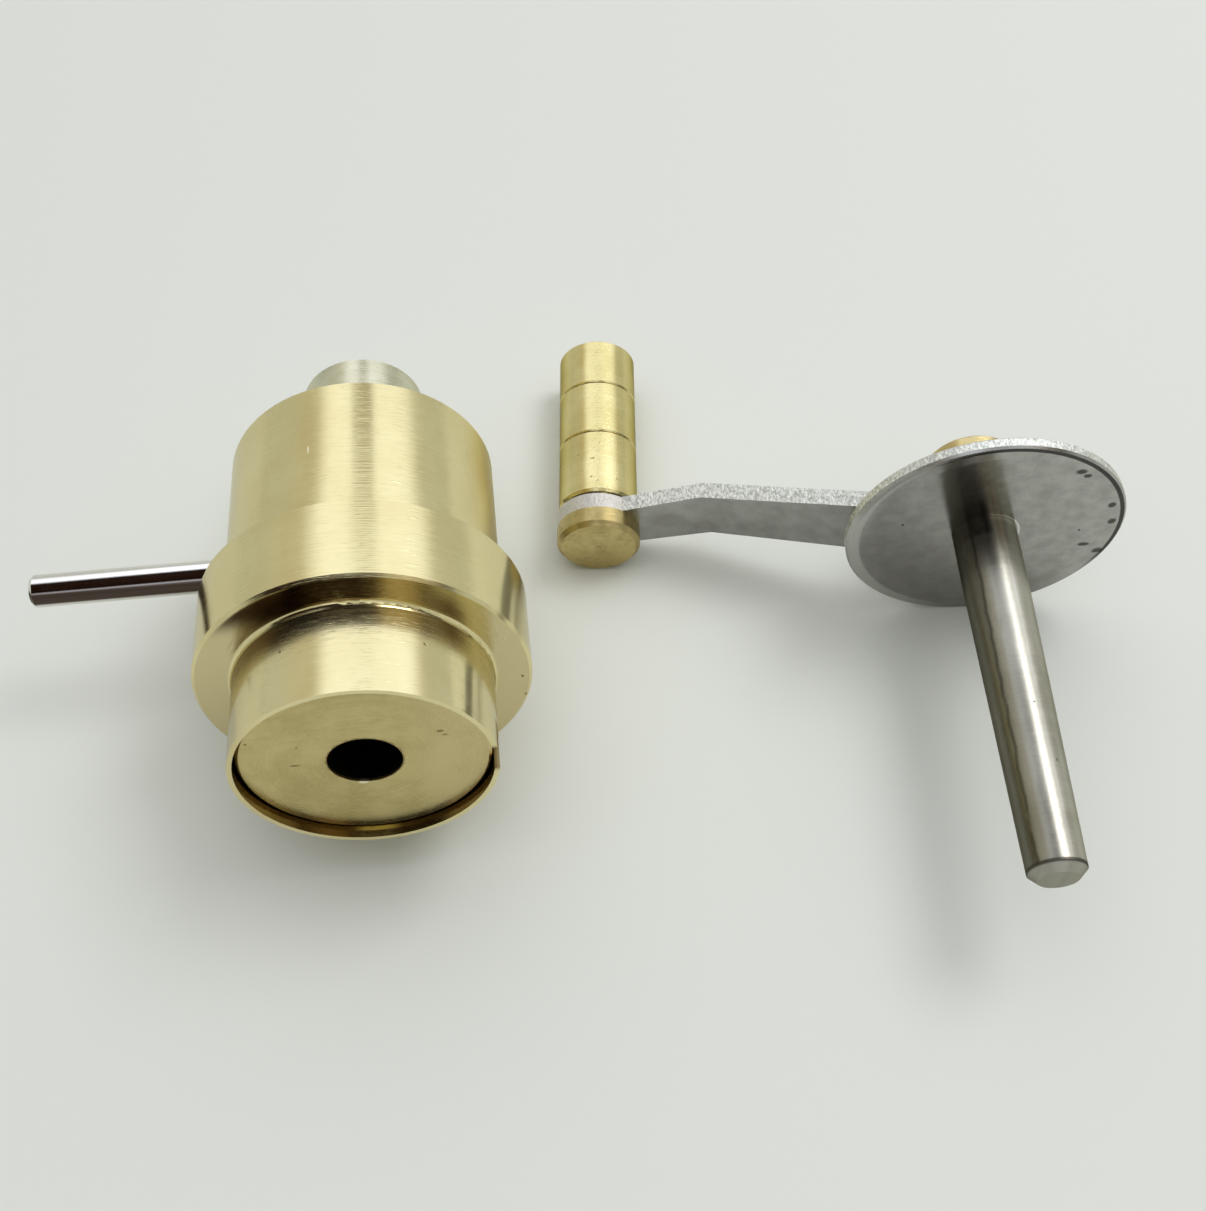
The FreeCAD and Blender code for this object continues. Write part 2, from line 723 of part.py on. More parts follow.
drum_axis = drum_frame.Rotation.multVec(-Y)
mouth = (centring * drum_frame).multVec(ORIGIN)
grip_axis = grip_frame.Rotation.multVec(Y)
grip_middle = (centring * grip_frame).multVec(Vector(0, amount(GRIP_FRONT), 0))
print("mouth centre", mouth, "ejector axis", drum_axis)
print("grip centre", grip_middle, "grip axis", grip_axis)
print("disc centre", (centring * crank_frame).multVec(Vector(0, amount(DISC_FRONT), 0)))
print("arbor axis", crank_frame.Rotation.multVec(-Y))
print("lowest point", extent.ZMin, "size", extent.XLength, extent.YLength, extent.ZLength)
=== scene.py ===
"""Looks for a watch mainspring winder: a brass winding drum with an ejector, and its hand crank.

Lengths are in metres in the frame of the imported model. Surface patterns are worked out in
millimetres along each piece's own axis, so they stay on the piece when it moves.
"""
import json
import math

import bpy
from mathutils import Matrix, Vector


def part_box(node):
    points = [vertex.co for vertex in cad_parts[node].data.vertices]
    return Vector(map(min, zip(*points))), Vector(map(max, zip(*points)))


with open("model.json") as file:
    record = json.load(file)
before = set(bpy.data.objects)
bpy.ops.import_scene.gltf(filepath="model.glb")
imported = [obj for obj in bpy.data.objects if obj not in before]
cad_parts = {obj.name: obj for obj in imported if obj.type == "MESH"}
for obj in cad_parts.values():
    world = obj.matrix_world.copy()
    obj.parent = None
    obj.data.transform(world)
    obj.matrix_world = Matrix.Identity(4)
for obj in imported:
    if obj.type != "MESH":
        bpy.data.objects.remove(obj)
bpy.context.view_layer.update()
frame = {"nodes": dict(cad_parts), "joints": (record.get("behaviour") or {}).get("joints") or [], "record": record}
nodes = frame["nodes"]
mounts = {mount["name"]: mount for mount in frame["record"]["mounts"]}
joints = {joint["name"]: joint for joint in frame["joints"]}


# --- Camera ---
# It stands above the bench and in front of the two units, and looks down at them. The drum's
# mouth and the arbor's tip point towards it.

CAMERA_PLACE = (-0.00294, -0.03432, 0.05986)
CAMERA_TILT = math.radians(31.57)
CAMERA_TURN = math.radians(-5.97)
SENSOR_WIDTH = 36
FOCAL_LENGTH = 44.35
NEAREST_SEEN = 0.001

scene = bpy.context.scene
scene.view_settings.view_transform = "Standard"

camera = bpy.data.objects.new("camera", bpy.data.cameras.new("camera"))
scene.collection.objects.link(camera)
camera.location = CAMERA_PLACE
camera.rotation_euler = (CAMERA_TILT, 0, CAMERA_TURN)
camera.data.sensor_width = SENSOR_WIDTH
camera.data.lens = FOCAL_LENGTH
camera.data.clip_start = NEAREST_SEEN
scene.camera = camera


# --- Bench and light ---
# A plain pale bench top that runs out of sight against a plain pale wall. Above the wall a wide
# bright roof light with one bar stands behind the work. The ceiling straight above the work and
# in front of it is unlit.


class Wire:
    """One output of a shader node. Sums and products written with it add Math nodes."""

    def __init__(self, tree, socket=None):
        self.tree, self.socket = tree, socket

    def node(self, kind, inputs=(), output=0, **settings):
        """A new node: its settings first, then the values or wires of its sockets."""
        made = self.tree.nodes.new(kind)
        for name, value in settings.items():
            setattr(made, name, value)
        for key, value in dict(inputs).items():
            if isinstance(value, Wire):
                self.tree.links.new(value.socket, made.inputs[key])
            else:
                made.inputs[key].default_value = value
        return Wire(self.tree, made.outputs[output])

    def math(self, operation, *values):
        return self.node("ShaderNodeMath", enumerate(values), operation=operation)

    def __add__(self, other):
        return self.math("ADD", self, other)

    def __sub__(self, other):
        return self.math("SUBTRACT", self, other)

    def __rsub__(self, other):
        return self.math("SUBTRACT", other, self)

    def __mul__(self, other):
        return self.math("MULTIPLY", self, other)

    def __truediv__(self, other):
        return self.math("DIVIDE", self, other)

    def __pow__(self, other):
        return self.math("POWER", self, other)

    __radd__, __rmul__ = __add__, __mul__

    def step(self, low, high):
        """0 below low and 1 above high, smooth between. It falls instead if low is above high."""
        ends = (low, high, 0.0, 1.0) if low < high else (high, low, 1.0, 0.0)
        return self.node("ShaderNodeMapRange", [(0, self), *enumerate(ends, start=1)],
                         interpolation_type="SMOOTHSTEP")

    def colour(self, zero, one):
        """Blends two colours, each a wire or a triple, by this wire."""
        ends = [end if isinstance(end, Wire) else (*end, 1.0) for end in (zero, one)]
        return self.node("ShaderNodeMix", {0: self, 6: ends[0], 7: ends[1]}, output=2,
                         data_type="RGBA")


def feed(shader, **wires):
    """Links wires to a shader's sockets."""
    for socket, wire in wires.items():
        wire.tree.links.new(wire.socket, shader.inputs[socket.replace("_", " ")])


WALL = (0.60, 0.57, 0.48)
PALE_WALL = (0.575, 0.595, 0.555)
WINDOW = (1.19, 1.23, 1.32)
WINDOW_BAR = (0.36, 0.34, 0.26)
UNLIT = (0.014, 0.005, 0.002)
HALF_LIT = (0.50, 0.43, 0.30)
NO_LIGHT = (0.0, 0.0, 0.0)
SKY_BEHIND = (2.40, 2.40, 2.40)
SKY_IN_FRONT = (0.45, 0.45, 0.45)

world = bpy.data.worlds.new("room")
world.use_nodes = True
scene.world = world
room = Wire(world.node_tree)
heading = room.node("ShaderNodeTexCoord", output="Generated")
x, y, z = (room.node("ShaderNodeSeparateXYZ", {0: heading}, output=axis) for axis in "XYZ")
roll = room.math("ARCTAN2", x, z) * math.degrees(1)
window = roll.step(-42, -24) * roll.step(66, 50)
bar_depth = z.step(0.635, 0.60) * 0.95 + 0.04
bar = roll.step(-6, 1) * roll.step(21, 15) * bar_depth
strip = roll.step(14, 26) * roll.step(68, 38)
lit_side = window.colour(WALL, bar.colour(WINDOW, WINDOW_BAR))
dark_side = strip.colour(UNLIT, HALF_LIT)
unlit_stretch = y.step(0.25, 0.0) * y.step(-0.80, -0.66)
lit = z.step(0.935, 0.84) * (1 - unlit_stretch)
ceiling = lit.colour(dark_side, lit_side)
walls = z.step(0.27, 0.40).colour(PALE_WALL, ceiling)
sky = (y * 0.5 + 0.5).colour(SKY_IN_FRONT, SKY_BEHIND)
from_above = (z * z).colour(NO_LIGHT, sky)
seen = sum(room.node("ShaderNodeLightPath", output=ray)
           for ray in ("Is Camera Ray", "Is Glossy Ray", "Is Transmission Ray"))
feed(world.node_tree.nodes["Background"], Color=seen.colour(from_above, walls))

BENCH_HALF = 3.0
BENCH_COLOUR = (0.775, 0.80, 0.752)

bench_mesh = bpy.data.meshes.new("bench")
bench_mesh.from_pydata(
    [(-BENCH_HALF, -BENCH_HALF, 0), (BENCH_HALF, -BENCH_HALF, 0),
     (BENCH_HALF, BENCH_HALF, 0), (-BENCH_HALF, BENCH_HALF, 0)], [], [(0, 1, 2, 3)])
bench = bpy.data.objects.new("bench", bench_mesh)
scene.collection.objects.link(bench)


def new_material(name, metallic):
    """A material with one Principled shader, and a wire that starts in its tree."""
    material = bpy.data.materials.new(name)
    material.use_nodes = True
    shader = material.node_tree.nodes["Principled BSDF"]
    shader.inputs["Metallic"].default_value = metallic
    return material, shader, Wire(material.node_tree)


bench_material, bench_shader, _ = new_material("bench_top", 0.0)
bench_shader.inputs["Base Color"].default_value = (*BENCH_COLOUR, 1.0)
bench_shader.inputs["Roughness"].default_value = 0.6
bench_shader.inputs["Specular IOR Level"].default_value = 0.2
bench_mesh.materials.append(bench_material)

LAMP_HEADING = (0.47, 0.23, 0.85)
LAMP_REACH = 0.32
LAMP_SIZE = 0.124
LAMP_RADIANCE = 5.2

lamp_data = bpy.data.lights.new("lamp_key", "AREA")
lamp_data.shape = "SQUARE"
lamp_data.size = LAMP_SIZE
lamp_data.energy = LAMP_RADIANCE * math.pi * LAMP_SIZE * LAMP_SIZE
lamp = bpy.data.objects.new("lamp_key", lamp_data)
scene.collection.objects.link(lamp)
away = Vector(LAMP_HEADING).normalized()
lamp.location = away * LAMP_REACH
lamp.rotation_euler = away.to_track_quat("Z", "Y").to_euler()


# --- Drum body ---
# Barrel of free-cutting brass, turned with a fine feed. Its front spigot carries the collar, its
# edges are broken with a file, and the rod is pressed into a cross hole behind the collar.

MM = 1000.0
EDGE_TINT = (0.80, 0.79, 0.74, 1.0)
FINE_FEED = {"pitch": 0.05, "depth": 0.004}
BRASS_LIGHT = (0.83, 0.74, 0.42)
BRASS_MIDDLE = (0.77, 0.67, 0.36)
BRASS_DARK = (0.30, 0.22, 0.09)
BRASS_BRIGHT = (0.93, 0.87, 0.62)

drum_axis = Vector(mounts["spring_tube_outside"]["axis"]).normalized()
mouth = Vector(mounts["spring_tube_outside"]["pos_m"])
mouth += drum_axis * mounts["spring_tube_outside"]["dims"]["length_mm"] / MM / 2


class Surface:
    """Metal of a piece about an axis. Places on it and heights are in millimetres: a station
    behind the origin, across and rise from the axis, and a turn and radius about it. The edge
    tint is the metal's colour at a grazing angle."""

    def __init__(self, name, origin, axis, sideways=(1, 0, 0), edge_tint=EDGE_TINT):
        self.material, self.shader, self.wire = new_material(name, 1.0)
        self.shader.inputs["Specular Tint"].default_value = edge_tint
        side = Vector(sideways)
        side = (side - axis * axis.dot(side)).normalized()
        place = self.wire.node("ShaderNodeTexCoord", output="Object")
        from_origin = self.vector("SUBTRACT", {0: place, 1: tuple(origin)})
        point = self.vector("SCALE", {0: from_origin, "Scale": MM})
        self.station = self.dot(point, -axis)
        self.across = self.dot(point, side)
        self.rise = self.dot(point, axis.cross(side))
        self.radius = (self.across * self.across + self.rise * self.rise) ** 0.5
        self.turn = self.wire.math("ARCTAN2", self.rise, self.across)
        normal = self.wire.node("ShaderNodeTexCoord", output="Normal")
        self.facing = self.wire.math("ABSOLUTE", self.dot(normal, axis))

    def vector(self, operation, inputs, output="Vector"):
        return self.wire.node("ShaderNodeVectorMath", inputs, output, operation=operation)

    def dot(self, wire, vector):
        return self.vector("DOT_PRODUCT", {0: wire, 1: tuple(vector)}, "Value")

    def noise(self, *coordinates, detail=3.0):
        """Noise from three coordinates, centred on zero."""
        place = self.wire.node("ShaderNodeCombineXYZ", enumerate(coordinates))
        return self.wire.node("ShaderNodeTexNoise", {
            "Vector": place, "Scale": 1.0, "Detail": detail, "Roughness": 0.6}) - 0.5

    def spot(self, station, turn_deg, size, length=1.0):
        """1 on a small round or long spot on the outside, and 0 off it."""
        swing = (self.turn - math.radians(turn_deg)) * self.radius
        along = (self.station - station) / length
        return ((swing * swing + along * along) ** 0.5).step(size, size * 0.5)

    def face_spot(self, across, rise, size, stretch=1.0):
        """The same on a flat face."""
        dx, dy = (self.across - across) / stretch, self.rise - rise
        return ((dx * dx + dy * dy) ** 0.5).step(size, size * 0.5)

    def face_spots(self, *places):
        """Several spots on a flat face, each as face_spot takes it."""
        return sum(self.face_spot(*place) for place in places)

    def ring(self, inner, outer, fade=0.04):
        """1 between two radii."""
        return self.radius.step(inner, inner + fade) * self.radius.step(outer, outer - fade)

    def turned(self, light, dark, roughness, pitch, depth):
        """Feed marks and short dashes that run round the piece, and a faint tarnish in patches."""
        along = self.station + self.radius
        fine = self.noise(along / pitch, self.turn * 0.35, along * 0.3)
        rings = self.noise(along / (pitch * 2.5), self.turn * 0.9, 3.0)
        dashes = self.noise(along / 0.07, self.turn * 8, 7.0, detail=1.0).step(0.06, 0.2)
        patches = self.noise(self.across * 0.5, self.rise * 0.5, self.station * 0.35)
        self.colour = (patches * 1.6 + fine * 0.6 + 0.5).step(0.1, 0.9).colour(dark, light)
        self.rough = patches * 0.10 + fine * 0.10 + dashes * 0.05 + roughness
        self.relief = (fine * 0.6 + rings * 0.6 + dashes * 0.45) * depth

    def stain(self, mask, colour, strength=0.85, rough=0.3, height=0.0):
        """Colours, dulls and raises or sinks the surface where the mask is 1."""
        self.colour = (mask * strength).colour(self.colour, colour)
        self.rough = mask * rough + self.rough
        self.relief = mask * height + self.relief

    def coat(self, *pieces):
        """Puts the surface on CAD nodes."""
        normal = self.wire.node("ShaderNodeBump", {"Height": self.relief, "Distance": 1 / MM},
                                output="Normal")
        feed(self.shader, Base_Color=self.colour, Roughness=self.rough, Normal=normal)
        for piece in pieces:
            slots = nodes[piece].data.materials
            slots.clear()
            slots.append(self.material)


barrel = Surface("turned_brass", mouth, drum_axis)
barrel.turned(BRASS_LIGHT, BRASS_MIDDLE, roughness=0.16, **FINE_FEED)
scratch = barrel.spot(12.0, 105, 0.05, 5.0)
barrel.stain(scratch, BRASS_BRIGHT, height=-0.01)
dull_side = barrel.across.step(3.8, 5.2)
barrel.rough = dull_side * 0.16 + barrel.rough
barrel.coat("drum_body")


# --- Drum collar ---
# Brass ring on the barrel's spigot. Its front is faced flat, and its darkening towards the top is
# painted shade, near black at the top left as a painted reflection. Its edge has been knocked where the spring is
# hooked in.

FACED_BRASS = (0.63, 0.54, 0.31)
SHADE_BROWN = (0.13, 0.065, 0.022)
DARK_REFLECTION_BLACK = (0.020, 0.003, 0.001)

collar = Surface("collar_brass", mouth, drum_axis)
collar.turned(BRASS_LIGHT, BRASS_MIDDLE, roughness=0.16, **FINE_FEED)
faced = collar.facing.step(0.9, 0.98)
collar.stain(faced, FACED_BRASS, strength=0.8, rough=-0.03)
clear_of_edge = collar.radius.step(6.66, 6.5)
patchy = collar.noise(collar.across * 1.5, collar.rise * 1.5, 0.0).step(-0.4, 0.0)
# Painted shade: the faced front is darkened in patches towards the top.
shaded_top = collar.rise.step(4.0, 5.4) * collar.across.step(2.0, 0.4) * clear_of_edge
collar.stain(faced * shaded_top * patchy, SHADE_BROWN, strength=0.8, rough=0.0)
# Painted reflection: the top left of the faced front is near black.
dark_reflection_top_left = collar.across.step(-0.9, -1.9) * collar.rise.step(3.6, 5.0) * clear_of_edge
collar.stain(faced * dark_reflection_top_left, DARK_REFLECTION_BLACK, rough=0.0)
dents = collar.face_spots((6.32, -0.41, 0.11, 0.6), (6.40, -1.67, 0.11, 0.6))
collar.stain(dents, BRASS_DARK, height=-0.02)
chips = collar.noise(collar.across * 3, collar.rise * 3, 0.0).step(0.12, 0.2)
collar.stain(chips * faced * collar.face_spot(5.9, 1.9, 0.9, 0.5), BRASS_BRIGHT, height=0.01)
collar.coat("drum_collar")


# --- Spring tube ---
# Thin brass sleeve with a slot sawn at one side for the spring's end. It is turned finer than
# the barrel and pressed into the collar. It is duller near its foot. Darker streaks at the foot, its sides
# by the foot, the inside, the left flank and the slot carry painted shade.

TUBE_LIGHT = (0.84, 0.75, 0.44)
TUBE_DARK = (0.78, 0.69, 0.38)
FOOT_SHADE_BRASS = (0.60, 0.50, 0.26)
INSIDE_SHADE = (0.20, 0.12, 0.05)
LEFT_FLANK_SHADE = (0.50, 0.40, 0.20)

tube = Surface("bright_brass", mouth, drum_axis)
tube.turned(TUBE_LIGHT, TUBE_DARK, roughness=0.14, pitch=0.04, depth=0.003)
foot = tube.station.step(1.6, 3.8)
# Duller brass near the foot, and its darker streaky colour is painted shade of the corner with the collar.
foot_shade_streaks = tube.noise(tube.station / 0.09, tube.turn * 2, 1.0).step(-0.1, 0.3)
tube.stain(foot * foot_shade_streaks, FOOT_SHADE_BRASS, strength=0.6, rough=0.16)
tube.rough = foot * 0.08 + tube.rough
# Painted shade: the tube's sides are darkened brown close to the foot.
foot_shade_sides = tube.across.step(-1.2, -3.2) + tube.across.step(2.4, 3.8) * tube.turn.step(0.45, 0.75)
tube.stain(tube.station.step(2.3, 3.5) * foot_shade_sides, SHADE_BROWN, rough=0.05)
# Painted shade: the inside of the tube is darkened to its left and right.
inside = tube.radius.step(5.12, 5.06) * tube.facing.step(0.5, 0.2)
shaded_inside_sides = tube.across.step(-0.6, -1.3) + tube.across.step(0.2, 1.0)
tube.stain(inside * shaded_inside_sides, INSIDE_SHADE, rough=0.0)
# Painted shade: the tube's left flank is darker.
tube.stain(tube.across.step(-3.2, -4.6), LEFT_FLANK_SHADE, strength=0.35, rough=0.0)
nicks = tube.spot(2.57, 119, 0.07) + tube.spot(2.46, 57, 0.07)
tube.stain(nicks, BRASS_DARK, height=-0.02)
# Painted shade: the sawn slot is darkened.
slot_shade = tube.station.step(1.45, 1.2) * tube.rise.step(0.95, 0.7) * tube.rise.step(-0.95, -0.7)
tube.stain(slot_shade * tube.across.step(4.5, 4.8), BRASS_DARK, strength=0.7)
tube.coat("spring_tube")


# --- Ejector ---
# Brass piston faced flat with a bored hole for the arbor, on a hollow steel stem. A steel knob on
# the stem's other end is pushed with the thumb. The bore is painted black as shade.

PISTON_LIGHT = (0.64, 0.54, 0.26)
PISTON_DARK = (0.50, 0.41, 0.18)
OILY_BRASS = (0.36, 0.29, 0.11)
RUBBED_BRASS = (0.66, 0.56, 0.30)
BORE_SHADE_BLACK = (0.010, 0.008, 0.006)

piston = Surface("faced_brass", mouth, drum_axis)
piston.turned(PISTON_LIGHT, PISTON_DARK, roughness=0.28, pitch=0.07, depth=0.003)
wiped = piston.noise(piston.across * 0.5, piston.rise * 5, 2.0, detail=5.0).step(0.0, 0.3)
piston.stain(wiped * piston.rise.step(-1.5, 3.5), OILY_BRASS, strength=0.5, rough=0.05)
piston.stain(piston.across.step(1.2, 3.5), RUBBED_BRASS, strength=0.55, rough=0.0)
marks = piston.face_spots(
    (-4.25, 1.79, 0.06), (-2.43, 1.28, 0.05), (-2.68, 0.07, 0.07, 3.5),
    (3.04, 1.51, 0.09, 2.0), (3.2, 1.25, 0.05, 3.0))
piston.stain(marks, BRASS_DARK, height=-0.02)
ragged = piston.noise(piston.turn * 5, 4.0, 0.0) * 0.25 + 1.52
near_bore = (ragged - piston.radius).step(-0.03, 0.03)
piston.stain(near_bore, BRASS_DARK, rough=0.1, height=-0.01)
piston.stain(piston.face_spot(-0.25, -1.5, 0.14, 1.8), BRASS_BRIGHT, rough=-0.05)
# Painted shade: the piston's bore is black.
bore_shade = piston.station.step(0.48, 0.60) * piston.radius.step(1.7, 1.6)
piston.stain(bore_shade, BORE_SHADE_BLACK, strength=1.0)
piston.coat("plunger_head")

STEEL_LIGHT = (0.78, 0.76, 0.58)
STEEL_MIDDLE = (0.60, 0.58, 0.42)

knob = Surface("turned_steel", mouth, drum_axis)
knob.turned(STEEL_LIGHT, STEEL_MIDDLE, roughness=0.26, **FINE_FEED)
knob.coat("push_knob")

stem = Surface("stem_steel", mouth, drum_axis)
stem.turned(STEEL_LIGHT, STEEL_MIDDLE, roughness=0.26, **FINE_FEED)
# Painted shade: the inside of the hollow stem is black.
stem.stain(stem.radius.step(1.7, 1.6), BORE_SHADE_BLACK, strength=1.0)
stem.coat("plunger_stem")


# --- Handle rod ---
# Straight polished steel rod pressed into a cross hole behind the collar. The drum is held by it
# while the spring is wound. A brown band on its front side is a painted reflection.

ROD_LIGHT = (0.90, 0.88, 0.85)
ROD_DARK = (0.82, 0.80, 0.77)
ROD_REFLECTION_BROWN = (0.04, 0.018, 0.008)

rod_low, rod_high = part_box("handle_rod")
rod_middle = (rod_low + rod_high) / 2
rod = Surface("polished_steel", rod_middle, Vector((-1, 0, 0)), sideways=(0, 1, 0))
rod.turned(ROD_LIGHT, ROD_DARK, roughness=0.06, pitch=0.05, depth=0.0006)
# Painted reflection: a brown band along the rod's front side.
rod_reflection_band = rod.rise.step(-0.60, -0.45) * rod.rise.step(0.12, -0.04) * rod.across.step(-0.15, -0.40)
rod.stain(rod_reflection_band, ROD_REFLECTION_BROWN, strength=0.95, rough=0.02)
rod.coat("handle_rod")


# --- Arbor and its hook ---
# Ground steel shaft, thinner towards its tip, with a small pin at its root that catches the eye
# of the spring. Its tail is riveted over behind the boss. Its root and left side carry painted
# shade and reflection, and a dark band between its highlights is a painted reflection.

ARBOR_SEAT = 0.0025
SHAFT_TINT = (0.50, 0.49, 0.43, 1.0)
SHAFT_LIGHT = (0.56, 0.545, 0.475)
SHAFT_DARK = (0.42, 0.405, 0.34)
ROOT_SHADE = (0.11, 0.10, 0.08)
ROOT_SHADE_BLACK = (0.018, 0.015, 0.012)
LEFT_SIDE_SHADE = (0.20, 0.195, 0.155)
LEFT_EDGE_SHADE = (0.08, 0.075, 0.06)
DARK_LINE_STEEL = (0.045, 0.038, 0.025)
BAR_REFLECTION_DARK = (0.22, 0.21, 0.175)
WRUNG_OIL = (0.30, 0.29, 0.235)
TIP_STEEL = (0.40, 0.39, 0.34)
STEEL_DARK = (0.08, 0.07, 0.06)

arbor_axis = Vector(mounts["cover_disc_face"]["axis"]).normalized()
disc_centre = Vector(mounts["arbor_seat"]["pos_m"]) - arbor_axis * ARBOR_SEAT / 2

shaft = Surface("ground_steel", disc_centre, arbor_axis, edge_tint=SHAFT_TINT)
shaft.turned(SHAFT_LIGHT, SHAFT_DARK, roughness=0.31, pitch=0.07, depth=0.0025)
# Painted shade and reflection: the left side of the root is darkened, near black close to the disc.
shaded_left = shaft.across.step(0.05, -0.35)
shaft.stain(shaft.station.step(-3.2, -0.9) * shaded_left, ROOT_SHADE, strength=0.7, rough=0.04)
shaft.stain(shaft.station.step(-1.0, -0.7) * shaded_left, ROOT_SHADE_BLACK, strength=0.9, rough=0.0)
# Painted reflection: the arbor's left side is darker, and darkest at its edge.
shaft.stain(shaft.across.step(-0.15, -0.50), LEFT_SIDE_SHADE, strength=0.4, rough=0.0)
shaft.stain(shaft.across.step(-0.70, -1.0), LEFT_EDGE_SHADE, strength=0.7, rough=0.0)
# A wavy dark line runs lengthwise down the arbor's left side.
wavy = shaft.noise(shaft.station * 0.8, 2.0, 0.0) * 0.25 - 0.90 - shaft.across
wavy_dark_line = wavy.step(-0.07, 0.0) * wavy.step(0.10, 0.03)
shaft.stain(wavy_dark_line, DARK_LINE_STEEL, strength=0.6, rough=0.0)
# Painted reflection: a dark band between the arbor's two highlights.
bar_reflection = shaft.across.step(0.02, 0.16) * shaft.across.step(0.38, 0.24)
shaft.stain(bar_reflection, BAR_REFLECTION_DARK, strength=0.55, rough=0.0)
wrung = shaft.noise(shaft.station * 0.5, shaft.turn * 2.2, 5.0).step(0.02, 0.3)
shaft.stain(wrung, WRUNG_OIL, strength=0.5, rough=0.04)
tip = shaft.station.step(-15.60, -15.66)
shaft.stain(tip, TIP_STEEL, strength=0.8, rough=0.08)
tip_line = shaft.station.step(-15.52, -15.58) * shaft.station.step(-15.72, -15.66)
shaft.stain(tip_line, STEEL_DARK, strength=0.9, rough=0.1)
shaft.stain(shaft.spot(-9.0, 85, 0.05) + shaft.spot(-11.5, 63, 0.04, 2.0), STEEL_DARK)
shaft.coat("arbor", "arbor_hook")


# --- Cover disc ---
# Stamped from sheet steel and tumbled: a dull grey face with pits near one edge, and a rim that
# shows the bright fibrous band of the cut. Its darker lower face, dark rim line, light left crescent
# and bright arc by the hole are painted shade, reflection and highlight.

TORN_DARK = (0.52, 0.53, 0.49)
TORN_BRIGHT = (0.96, 0.97, 0.92)
PORE = (0.13, 0.12, 0.10)
DISC_LIGHT = (0.47, 0.465, 0.445)
DISC_DARK = (0.33, 0.325, 0.305)
LOWER_SHADE_GREY = (0.22, 0.215, 0.195)
RIM_DARK_REFLECTION = (0.03, 0.03, 0.03)
RIM_CRESCENT_HIGHLIGHT = (0.62, 0.61, 0.58)
PIT = (0.06, 0.055, 0.05)
HOLE_EDGE_HIGHLIGHT = (0.80, 0.79, 0.76)


def tumbled(surface, face_light, face_dark, roughness):
    """A mottled dull face, and a bright torn cut where the sheet's edge faces outwards."""
    across, rise, station = surface.across, surface.rise, surface.station
    mottle = surface.noise(across * 1.2, rise * 1.2, station * 1.2, detail=6.0)
    grain = surface.noise(across * 14, rise * 14, station * 14, detail=4.0)
    cut = surface.facing.step(0.75, 0.45)
    torn = surface.noise(across * 9, rise * 9, station * 5, detail=6.0)
    pores = surface.noise(across * 18, rise * 18, station * 14, detail=3.0).step(0.13, 0.24)
    face = (mottle * 1.5 + grain * 0.5 + 0.5).step(0.1, 0.9).colour(face_dark, face_light)
    bright = (torn * 2.4 + 0.5).step(0.1, 0.9).colour(TORN_DARK, TORN_BRIGHT)
    surface.colour = cut.colour(face, (pores * 0.75).colour(bright, PORE))
    surface.rough = mottle * 0.10 + grain * 0.06 + cut * 0.2 + cut * torn * 0.3 + roughness
    surface.relief = (mottle * 0.3 + grain * 0.3) * 0.004 + cut * (torn * 0.05 - pores * 0.03)


disc = Surface("stamped_steel", disc_centre, arbor_axis)
tumbled(disc, DISC_LIGHT, DISC_DARK, roughness=0.17)
flat = disc.facing.step(0.9, 0.98)
# Painted reflection of shade: the lower part of the disc face is darker.
shaded_lower = (disc.rise + disc.across * 0.5).step(0.5, -4.0)
disc.stain(shaded_lower * flat, LOWER_SHADE_GREY, strength=0.5, rough=0.05)
# Painted reflection: a dark line round the upper rim of the face.
upper = (disc.rise + disc.across * 0.35).step(-1.5, 0.5)
disc.stain(disc.ring(5.72, 5.95) * flat * upper, RIM_DARK_REFLECTION, strength=0.9, rough=0.1)
# Painted highlight: a light crescent along the face's left edge.
crescent_highlight = (disc.radius - disc.across * 0.06 - disc.rise * 0.03).step(5.72, 5.85) * flat
disc.stain(crescent_highlight * disc.across.step(0.5, -3.0), RIM_CRESCENT_HIGHLIGHT, strength=0.6, rough=0.0)
pits = disc.face_spots(
    (3.12, 4.29, 0.19, 1.6), (3.45, 4.00, 0.15, 1.5), (5.07, 1.88, 0.23), (5.40, 0.68, 0.25),
    (4.60, -1.00, 0.17, 2.0), (5.38, -1.55, 0.24, 1.4), (-3.73, 0.92, 0.08), (4.13, 0.10, 0.07))
disc.stain(pits * flat, PIT, strength=0.9, rough=0.2, height=-0.03)
# Painted highlight: a bright arc on the upper side of the ring round the arbor hole.
hole_edge_highlight = disc.ring(1.40, 1.54) * (disc.rise + disc.across * 0.6).step(0.4, 1.0) * flat
disc.stain(hole_edge_highlight, HOLE_EDGE_HIGHLIGHT, strength=0.8, rough=0.0)
disc.coat("cover_disc")


# --- Crank arm ---
# Strip of the same sheet, bent twice and cut to a taper, so its long edges show the bright cut.
# Round the grip's eye the edge is filed smooth.

ARM_LIGHT = (0.44, 0.44, 0.425)
ARM_DARK = (0.32, 0.32, 0.30)
FILED_STEEL = (0.68, 0.64, 0.585)
SMUDGE = (0.30, 0.29, 0.28)

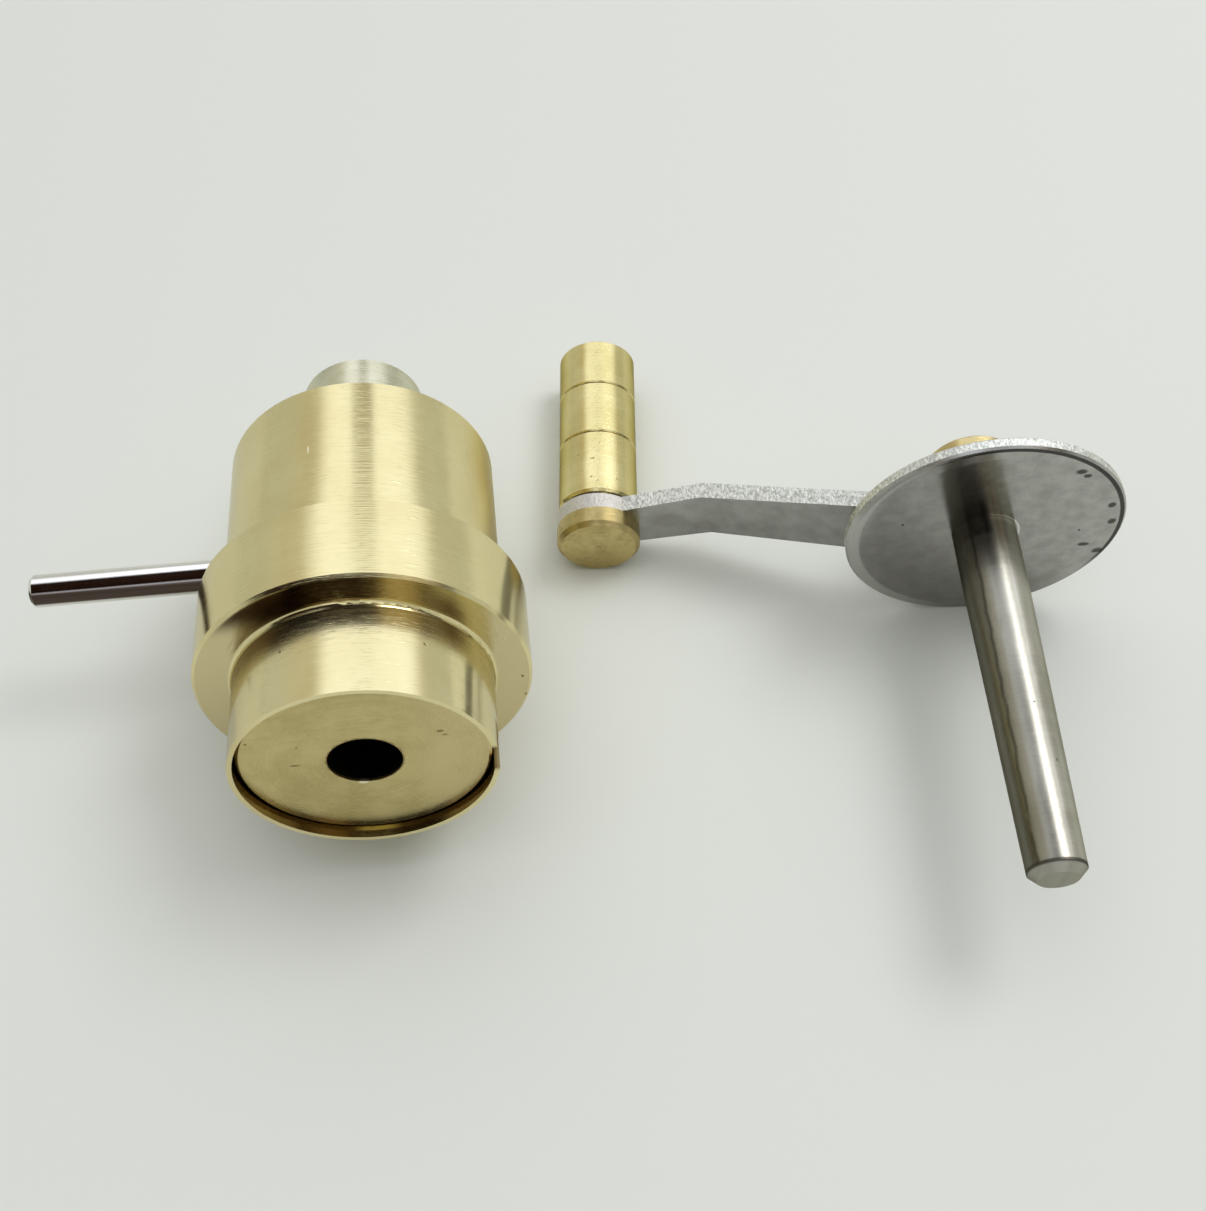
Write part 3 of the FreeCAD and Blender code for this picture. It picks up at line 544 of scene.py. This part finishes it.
arm = Surface("bent_steel", disc_centre, arbor_axis)
tumbled(arm, ARM_LIGHT, ARM_DARK, roughness=0.32)
filed = arm.across.step(-15.2, -15.9) * arm.facing.step(0.75, 0.45)
arm.stain(filed, FILED_STEEL, strength=0.8, rough=-0.05)
smudges = arm.face_spots((-13.49, -3.20, 0.7, 1.4), (-11.69, -3.64, 0.5, 1.6))
arm.stain(smudges * arm.facing.step(0.8, 0.95), SMUDGE, strength=0.45, rough=0.1)
arm.coat("crank_arm")


# --- Hub boss ---
# Brass boss behind the arm, turned like the drum and left duller. The arm is clamped against it
# by the arbor's riveted tail.

BOSS_LIGHT = (0.72, 0.60, 0.31)
BOSS_DARK = (0.60, 0.48, 0.22)

boss = Surface("boss_brass", disc_centre, arbor_axis)
boss.turned(BOSS_LIGHT, BOSS_DARK, roughness=0.24, **FINE_FEED)
boss.coat("hub_boss")


# --- Grip and its pin ---
# Brass sleeve with two turned grooves that runs on a steel pin. A brass button in front of the
# arm heads the pin, a thin washer parts grip and arm, and a pressed collar keeps the grip on.

GRIP_TINT = (0.45, 0.42, 0.28, 1.0)
GRIP_LIGHT = (0.84, 0.74, 0.38)
GRIP_DARK = (0.70, 0.59, 0.26)
BUTTON_LIGHT = (0.62, 0.51, 0.24)
BUTTON_DARK = (0.46, 0.36, 0.15)
BUTTON_DULL = (0.34, 0.27, 0.11)

grip_axis = -Vector(joints["grip_spin"]["axis"]).normalized()
grip_end = Vector(joints["grip_spin"]["pos_m"])

grip = Surface("grip_brass", grip_end, grip_axis, edge_tint=GRIP_TINT)
grip.turned(GRIP_LIGHT, GRIP_DARK, roughness=0.20, **FINE_FEED)
pitted = grip.noise(grip.across * 4, grip.rise * 4, grip.station * 4, detail=1.0).step(0.22, 0.27)
grip.stain(pitted * grip.station.step(3.6, 2.4), BRASS_DARK, strength=0.6, height=-0.01)
grip.coat("grip")

button = Surface("button_brass", grip_end, grip_axis)
button.turned(BUTTON_LIGHT, BUTTON_DARK, roughness=0.30, pitch=0.07, depth=0.006)
cloudy = button.noise(button.across * 2.2, button.rise * 2.2, button.station * 2.2, detail=5.0)
button.stain(cloudy.step(-0.05, 0.25), BUTTON_DULL, strength=0.6, rough=0.12, height=-0.004)
button.coat("grip_button")

pin = Surface("pin_steel", grip_end, grip_axis)
pin.turned(STEEL_LIGHT, STEEL_MIDDLE, roughness=0.25, pitch=0.05, depth=0.003)
pin.coat("grip_pin", "grip_washer", "grip_retainer")
